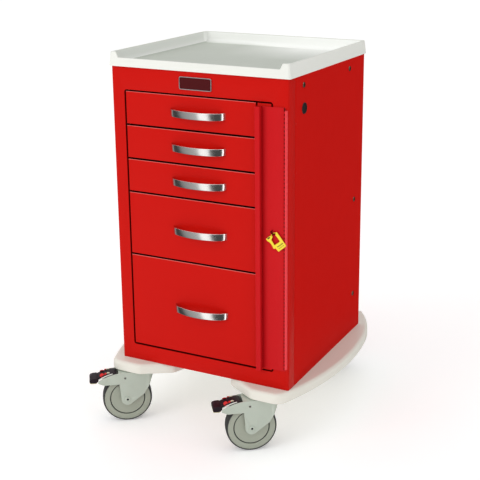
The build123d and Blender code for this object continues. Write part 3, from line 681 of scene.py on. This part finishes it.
def makeBadge():
    low, high = boxOf("badge")
    piece = addBlock(low, high)
    bevelEdges(piece, lambda a, b: near(a.x, b.x) and near(a.z, b.z), badgeSet["corner"] * mm, 6)
    editFaces(piece, lambda middle, normal: normal.y < -0.9)
    bpy.ops.mesh.inset(thickness=badgeSet["rim"] * mm)
    bpy.ops.mesh.extrude_region_move(TRANSFORM_OT_translate={"value": (0, badgeSet["sink"] * mm, 0)})
    editDone()
    field = copyPiece(piece, "field")
    floor = low.y + badgeSet["sink"] * mm
    dropFaces(field, lambda middle, normal: normal.y < -0.9 and near(middle.y, floor), True)
    dropFaces(piece, lambda middle, normal: normal.y < -0.9 and near(middle.y, floor), False)
    roundEdges(piece, badgeSet["edge"] * mm, 3, 50)
    finishPiece(piece, "badgeRim", "zincSteel", "carcass", ("badge",))
    applyModifier(field, "SOLIDIFY", thickness=badgeSet["fieldThick"] * mm, offset=-1)
    finishPiece(field, "badgeField", "badgeField", "carcass")
    print("badge made")


# Edges are rounded by these widths. Painted shade goes behind a front's skin and clear of the frame's outer
# sides.
cabinetSet = {
    "edges": {"front_frame": 0.45, "lock_channel": 0.4},
    "skin": 1.5, "outerSide": 3.0,
    "trayWall": 5.0, "trayRim": 3.0,
}


def makeCabinet():
    left, right = (corner.x for corner in boxOf("front_frame"))
    outer = cabinetSet["outerSide"] * mm
    for node, edge in cabinetSet["edges"].items():
        piece = copyOfNode(node, "copy")
        roundEdges(piece, edge * mm, 2, 50)
        finishPiece(piece, camel(node), "redEnamel", "carcass", (node,))
        behind = boxOf(node)[0].y + cabinetSet["skin"] * mm
        # Painted shade: faces inside the openings, behind the front skin, get the near-black red.
        shadeFaces(piece, lambda middle, normal: abs(normal.y) < 0.5 and middle.y > behind
                   and abs(middle.x - right) > outer and abs(middle.x - left) > outer, "redShade")
    tray = copyOfNode("top_tray", "copy")
    finishPiece(tray, "topTray", "trayPlastic", "carcass", ("top_tray",), 30)
    low, high = boxOf("top_tray")
    inside = cabinetSet["trayWall"] * mm
    rim = high.z - cabinetSet["trayRim"] * mm
    # Painted light: the tray's inside faces get the finish whose colour is lightened where light falls.
    shadeFaces(tray, lambda middle, normal: low.x + inside < middle.x < high.x - inside
               and low.y + inside < middle.y < high.y - inside and middle.z < rim
               and normal.z > -0.5, "trayInsidePaintedLight")
    base = copyOfNode("base_bumper", "copy")
    finishPiece(base, "baseBumper", "baseCream", "carcass", ("base_bumper",), 40)
    print("cabinet made")


# Screw and plug places are measured in from the cabinet's edges, and "backLow" up from its foot.
screwSet = {"radius": 6.25, "dome": 2.0, "socket": 2.2, "sink": 0.3, "steps": 40,
            "frontTop": (74.5, 23.2), "backTop": (93.5, 24.6), "backLow": [(50.0, 349.0), (46.0, 100.0)]}
plugSet = {"outer": 12.5, "inner": 10.6, "proud": 1.5, "floor": -1.0, "sink": 0.4, "steps": 48,
           "fromFront": 77.0, "fromTop": 73.8}
rivetSet = {"places": [(-187.0, 603.0), (-186.0, 496.0)], "radius": 3.0, "dome": 0.9, "sink": 0.2,
            "steps": 24}


def makeSideFittings():
    wall = {1: boxOf("side_panel_right")[1].x, -1: boxOf("side_panel_left")[0].x}
    r, d, k = screwSet["radius"] * mm, screwSet["dome"] * mm, screwSet["socket"] * mm
    section = [(0, d * 0.35), (k, d * 0.35), (k, d * 0.92)]
    section += [(k + (r - k) * math.sin(t * math.pi / 12), d * 0.1 + d * 0.85 * math.cos(t * math.pi / 12))
                for t in range(1, 7)]
    section += [(r, -screwSet["sink"] * mm), (0, -screwSet["sink"] * mm)]
    screw = addTurned([(y, x, 0) for x, y in section], screwSet["steps"], "X", True)
    o, i, p, f, sink = (plugSet[key] * mm for key in ("outer", "inner", "proud", "floor", "sink"))
    ring = [(0, f), (i, f), (i + 0.3 * mm, p * 0.8), (i + 0.8 * mm, p), (o - 0.7 * mm, p), (o, p * 0.5),
            (o, -sink), (0, -sink + f)]
    plug = addTurned([(y, x, 0) for x, y in ring], plugSet["steps"], "X", True)
    screws, plugs = [], []
    for side in (-1, 1):
        for y, z in screwPlaces():
            screws.append(placedCopy(screw, (wall[side], y, z), side))
        plugSpot = Vector((wall[side], *plugPlace()))
        plugs.append(placedCopy(plug, plugSpot, side))
    bpy.data.objects.remove(screw)
    bpy.data.objects.remove(plug)
    finishPiece(joinPieces(screws), "sideScrews", "screwSteel", "carcass", ("side_screws",))
    finishPiece(joinPieces(plugs), "sidePlugs", "plugBlack", "carcass", ("side_plugs",))
    rivets = []
    r, d = rivetSet["radius"] * mm, rivetSet["dome"] * mm
    section = [(0, d)]
    section += [(r * math.sin(t * math.pi / 10), d * math.cos(t * math.pi / 10)) for t in range(1, 5)]
    section += [(r, -rivetSet["sink"] * mm), (0, -rivetSet["sink"] * mm)]
    rivet = addTurned([(y, x, 0) for x, y in section], rivetSet["steps"], "X", True)
    for side in (-1, 1):
        for y, z in rivetSet["places"]:
            rivets.append(placedCopy(rivet, (wall[side], y * mm, z * mm + cabinetFoot()), side))
    bpy.data.objects.remove(rivet)
    finishPiece(joinPieces(rivets), "sideRivets", "redEnamel", "carcass")
    print("side fittings made")


def cabinetFoot():
    return boxOf("side_panel_right")[0].z


def screwPlaces():
    low, high = boxOf("side_panel_right")
    fromFront, fromTop = screwSet["frontTop"]
    places = [(boxOf("front_frame")[0].y + fromFront * mm, high.z - fromTop * mm)]
    fromBack, fromTop = screwSet["backTop"]
    places.append((high.y - fromBack * mm, high.z - fromTop * mm))
    places += [(high.y - fromBack * mm, low.z + rise * mm) for fromBack, rise in screwSet["backLow"]]
    return places


def plugPlace():
    front, top = boxOf("front_frame")[0].y, boxOf("side_panel_right")[1].z
    return front + plugSet["fromFront"] * mm, top - plugSet["fromTop"] * mm


def placedCopy(piece, spot, side):
    twin = copyPiece(piece, "copy")
    if side < 0:
        twin.rotation_euler = (0, 0, math.pi)
    twin.location = spot
    applyPlace(twin)
    return twin


# A caster is drawn about its axle, x along the trail, y across towards the open side, z up.
casterSet = {
    "turn": 216.0, "steps": 96, "forkEdge": 0.5,
    "core": [(5.05, 18.5), (13.2, 18.5), (14.0, 17.8), (16.0, 14.2), (38.8, 14.0), (39.4, 13.4),
             (39.4, 11.0), (41.6, 11.0), (41.6, 14.2), (42.3, 15.0), (53.7, 15.0), (54.5, 14.6),
             (52.9, 13.0), (52.5, 12.0)],
    "ring": [(39.45, 11.05), (39.7, 13.2), (40.5, 13.7), (41.3, 13.2), (41.55, 11.05)],
    "tyre": [(52.5, 12.6), (54.7, 15.0), (55.3, 15.9), (56.1, 15.8), (57.1, 14.6), (57.9, 12.6),
             (58.3, 10.2), (58.5, 7.0)],
    "bolt": [(0.0, 22.6), (2.8, 22.6), (2.8, 23.6), (3.6, 23.9), (5.4, 23.7), (6.4, 23.0), (6.9, 22.2),
             (7.0, 21.5), (5.0, 21.5), (5.0, 0.0), (0.0, 0.0)],
    "socket": [(0.0, 22.9), (2.7, 22.9), (2.7, 22.2), (0.0, 22.2)],
    "dimple": [(0.0, 22.1), (1.6, 22.0), (2.9, 21.4), (0.0, 21.2)], "dimplePlace": (4.0, 55.0),
    "nut": [(0.0, -25.5), (6.4, -25.5), (7.2, -24.9), (7.4, -21.5), (0.0, -21.5)], "nutEdge": 0.4,
    "shaft": [(5.0, 0.0), (5.0, -22.0), (0.0, -22.0)], "boltSteps": 32, "dimpleSteps": 24,
}


def mirrored(points):  # a section given for one side only, closed with its mirror image
    return points + [(r, -y) for r, y in reversed(points)]


def turnedOf(part, steps, side=1):  # a bolt, nut or recess of the caster, turned about the axle
    return addTurned([(r * mm, side * y * mm, 0) for r, y in casterSet[part]], steps, "Y", True)


def makeWheels():
    c = casterSet
    shapes = {}
    for part in ("core", "ring", "tyre"):
        points = mirrored(c[part]) if part != "ring" else c[part]
        shapes[part] = addTurned([(r * mm, y * mm, 0) for r, y in points], c["steps"], "Y")
    far = copyPiece(shapes["ring"], "copy")
    far.scale = (1, -1, 1)
    applyPlace(far)
    shapes["ring"] = joinPieces([shapes["ring"], far])
    cleanNormals(shapes["ring"])
    bolt = turnedOf("bolt", c["boltSteps"])
    shaft = turnedOf("shaft", c["boltSteps"])
    nut = turnedOf("nut", 6)
    roundEdges(nut, c["nutEdge"] * mm, 2, 40)
    shapes["bolt"] = joinPieces([bolt, shaft, nut])
    shapes["socket"] = turnedOf("socket", 6)
    dimples = []
    for side in (1, -1):
        dimple = turnedOf("dimple", c["dimpleSteps"], side)
        dimple.location = (c["dimplePlace"][0] * mm, 0, c["dimplePlace"][1] * mm)
        applyPlace(dimple)
        dimples.append(dimple)
    shapes["dimple"] = joinPieces(dimples)
    for place in casters:
        name = f"caster_{place}"
        tag = camel(place)
        for part, label, finish, body, slot, node in (
                ("core", "wheel", "wheelGrey", "_wheel", "wheel_grey", "_wheel"),
                ("ring", "wheelRing", "ringDark", "_wheel", "tyre", None),
                ("tyre", "tyre", "tyre", "_wheel", "tyre", "_tyre"),
                ("bolt", "axle", "casterGrey", "_swivel", "chrome", "_axle"),
                # A near-black disc in the bolt head's socket: painted shade in the recess.
                ("socket", "axleSocketShade", "plugBlack", "_swivel", "chrome", None),
                ("dimple", "forkDimple", "boltSteel", "_swivel", "caster_grey", None)):
            piece = casterCopy(shapes[part], name)
            finishPiece(piece, f"{label}_{tag}", finish, name + body, (name + node,) if node else ())
    for shape in shapes.values():
        bpy.data.objects.remove(shape)
    print("wheels made")


def casterCopy(shape, name):
    low, high = boxOf(f"{name}_tyre")
    twin = copyPiece(shape, "copy")
    twin.rotation_euler = (0, 0, math.radians(casterSet["turn"]))
    twin.location = (low + high) / 2
    applyPlace(twin)
    return twin


def makeForks():
    for place in casters:
        node, body = f"caster_{place}_fork", f"caster_{place}_swivel"
        piece = copyOfNode(node, "copy")
        roundEdges(piece, casterSet["forkEdge"] * mm, 2, 50)
        finishPiece(piece, f"fork_{camel(place)}", "casterGrey", body, (node,), 40)
    print("forks made")


pedalSet = {
    "half": 16.0, "padHalf": 18.5,
    "topEdge": 1.2, "padEdge": 1.4, "trimEdge": 0.3, "footEdge": 0.4,
    "top": [(24, 64.1), (24, 65.9), (33, 67.3), (46, 67.3), (52, 64.4), (60, 61.9), (68, 58.7),
            (70.5, 55.5), (70, 51.8), (62, 54.0), (48, 58.6), (48, 52), (40, 52), (40, 61.6), (33, 64.1)],
    "pad": [(66.0, 55.4), (68.5, 57.0), (72, 58.4), (80, 58.0), (86, 56.4), (88, 53.6), (88, 49.4),
            (86, 46.8), (74, 46.2), (70, 47.4), (67, 50.4)],
    "trim": [(70.5, 50.4), (66, 52.9), (56, 58.2), (46, 62.3), (38, 64.7), (33, 66.0), (33, 67.6),
             (39, 66.6), (46, 64.6), (56, 60.5), (66, 55.2), (71.4, 52.4)],
    "trimGap": 0.2, "trimThick": 2.0,
    "foot": [(69.5, 46.8), (73.6, 44.2), (85.2, 44.8), (88, 47.2), (87.4, 48.2), (84.6, 46.2),
             (74.4, 45.6), (70.4, 47.8)],
    "footShare": 0.98,
    # The small red dot at u 49.5, w 66.4 is a painted highlight; the larger red dot and the cream dot are
    # dots.
    "dots": [("dotRed", 58.0, 63.2, 5.2), ("dotCream", 43.5, 65.6, 4.6), ("dotRed", 49.5, 66.4, 2.8)],
    "dotTilt": 40.0, "dotInset": 3.2, "dotSteps": 24,
    "pin": (44.0, 52.0), "pinSteps": 24,
    "pinSection": [(0, -18.4), (4.5, -18.4), (4.5, 18.4), (2.5, 18.4), (2.5, 21.7), (0, 22.1)],
}


def makePedals():
    d = pedalSet
    half, padHalf = d["half"] * mm, d["padHalf"] * mm
    footHalf = padHalf * d["footShare"]
    top = addPlate([(u * mm, -half, w * mm) for u, w in d["top"]], (0, 2 * half, 0))
    roundEdges(top, d["topEdge"] * mm, 3, 30)
    pad = addPlate([(u * mm, -padHalf, w * mm) for u, w in d["pad"]], (0, 2 * padHalf, 0))
    roundEdges(pad, d["padEdge"] * mm, 3, 30)
    pin = addTurned([(r * mm, y * mm, 0) for r, y in d["pinSection"]], d["pinSteps"], "Y", True)
    pin.location = (d["pin"][0] * mm, 0, d["pin"][1] * mm)
    applyPlace(pin)
    shell = joinPieces([top, pad])
    trims = []
    for side in (-1, 1):
        start = side * (half + d["trimGap"] * mm)
        trims.append(addPlate([(u * mm, start, w * mm) for u, w in d["trim"]],
                              (0, side * d["trimThick"] * mm, 0)))
    foot = addPlate([(u * mm, -footHalf, w * mm) for u, w in d["foot"]], (0, 2 * footHalf, 0))
    trim = joinPieces(trims)
    roundEdges(trim, d["trimEdge"] * mm, 2, 40)
    roundEdges(foot, d["footEdge"] * mm, 2, 40)
    dots = {}
    for finish, u, w, radius in d["dots"]:
        section = [(0, 0.9), (radius * 0.8, 0.9), (radius, 0.4), (radius, -0.8), (0, -0.8)]
        for side in (-1, 1):
            dot = addTurned([(x * mm, y * mm, 0) for x, y in section], d["dotSteps"], "Y", True)
            dot.rotation_euler = (math.radians(d["dotTilt"]), 0, 0 if side > 0 else math.pi)
            dot.location = (u * mm, side * (half - d["dotInset"] * mm), w * mm)
            applyPlace(dot)
            dots.setdefault(finish, []).append(dot)
    shapes = [(shell, "pedal", "pedalDark", "pedal_black"),
              # The trim takes the light tray plastic, not the fork grey: a painted highlight along the
              # arm's sheet edge.
              (trim, "pedalTrim", "trayPlastic", "caster_grey"),
              (pin, "pedalPin", "casterGrey", "caster_grey"),
              (foot, "pedalFoot", "dotCream", "base_cream")]
    shapes += [(joinPieces(group), "pedal" + finish[0].upper() + finish[1:], finish, "pedal_black")
               for finish, group in dots.items()]
    for place in casters:
        name = f"caster_{place}"
        for shape, label, finish, slot in shapes:
            piece = casterCopy(shape, name)
            node = (f"{name}_brake_pedal",) if label == "pedal" else ()
            finishPiece(piece, f"{label}_{camel(place)}", finish, f"{name}_brake", node)
    for made in shapes:
        bpy.data.objects.remove(made[0])
    print("pedals made")


studio = {
    "floorSize": 60.0,
    "floorTone": (0.96, 0.96, 0.96),
    "floorFleck": 0.985,
    "worldPower": 0.86,
    "floorGlow": 0.21,
    "topGlow": (0.6, 18.0),
    "keyPlace": (-1.6, -3.2, 2.2),
    "keySize": 2.4,
    "keyPower": 36.0,
    "room": [(-180, 0.05), (-150, 0.5), (-120, 0.4), (-80, 0.30), (-75, 0.05), (-60, 0.05), (-56, 0.22),
             (-49, 0.35), (-20, 0.55), (-17, 1.4), (0, 1.4), (2, 0.08), (69, 0.08), (79, 2.6), (92, 2.4),
             (96, 0.2), (140, 0.04), (180, 0.05)],
}


def addArea(name, place, size, power, aim=(0, 0, 0.45)):
    way = Vector(aim) - Vector(place)
    bpy.ops.object.light_add(type="AREA", location=place, rotation=way.to_track_quat("-Z", "Y").to_euler())
    light = bpy.context.object
    light.name = name
    light.data.shape = "SQUARE"
    light.data.size = size
    light.data.energy = power
    light.visible_glossy = False
    return light


def addStudio():
    deselectAll()
    bpy.ops.mesh.primitive_plane_add(size=studio["floorSize"], location=(0, 0, 0))
    floor = bpy.context.object
    floor.name = "studioFloor"
    floor.visible_glossy = False
    paper = Finish("floorPaper", Roughness=0.9, Emission_Color=(1, 1, 1, 1),
                   Emission_Strength=studio["floorGlow"])
    grain = paper.noise(30.0)
    tone = studio["floorTone"]
    fleck = tuple(c * studio["floorFleck"] for c in tone)
    floor.data.materials.append(paper.feedShader(Base_Color=paper.blend(grain, tone, fleck)))
    world = bpy.data.worlds.new("studioWorld")
    world.use_nodes = True
    bpy.context.scene.world = world
    sky = Finish("world", world.node_tree)
    way = sky.node("ShaderNodeTexCoord", output=0)
    parts = sky.tree.nodes.new("ShaderNodeSeparateXYZ")
    sky.feed(parts.inputs[0], way)
    x, y, z = (Wire(sky, parts.outputs[k]) for k in range(3))
    turn = sky.maths("ARCTAN2", x, y * -1.0) * (1 / (2 * math.pi)) + 0.5
    room = sky.ramp(turn, [(place / 360 + 0.5, (light,) * 3) for place, light in studio["room"]])
    top = (z > studio["topGlow"][0]) * studio["topGlow"][1]
    room = sky.node("ShaderNodeMix", {"data_type": "RGBA", "blend_type": "ADD"}, output=2,
                    i0=top, i6=room, i7=(1, 1, 1))
    glossy = sky.node("ShaderNodeLightPath", output=3)
    seen = sky.node("ShaderNodeLightPath", output=0)
    soft = sky.blend(seen, (studio["worldPower"],) * 3, (1.0, 1.0, 1.0))
    sky.feed(sky.tree.nodes["Background"].inputs["Color"], sky.blend(glossy, soft, room))
    sky.tree.nodes["Background"].inputs["Strength"].default_value = 1.0
    addArea("keyLight", studio["keyPlace"], studio["keySize"], studio["keyPower"])
    bpy.context.scene.view_settings.view_transform = "Standard"
    print("studio lit")


addCamera()
addStudio()
dressNodes()
makeCabinet()
makeDrawerFronts()
makePulls()
makeLockBar()
makeSeal()
makeBadge()
makeSideFittings()
makeForks()
makeWheels()
makePedals()
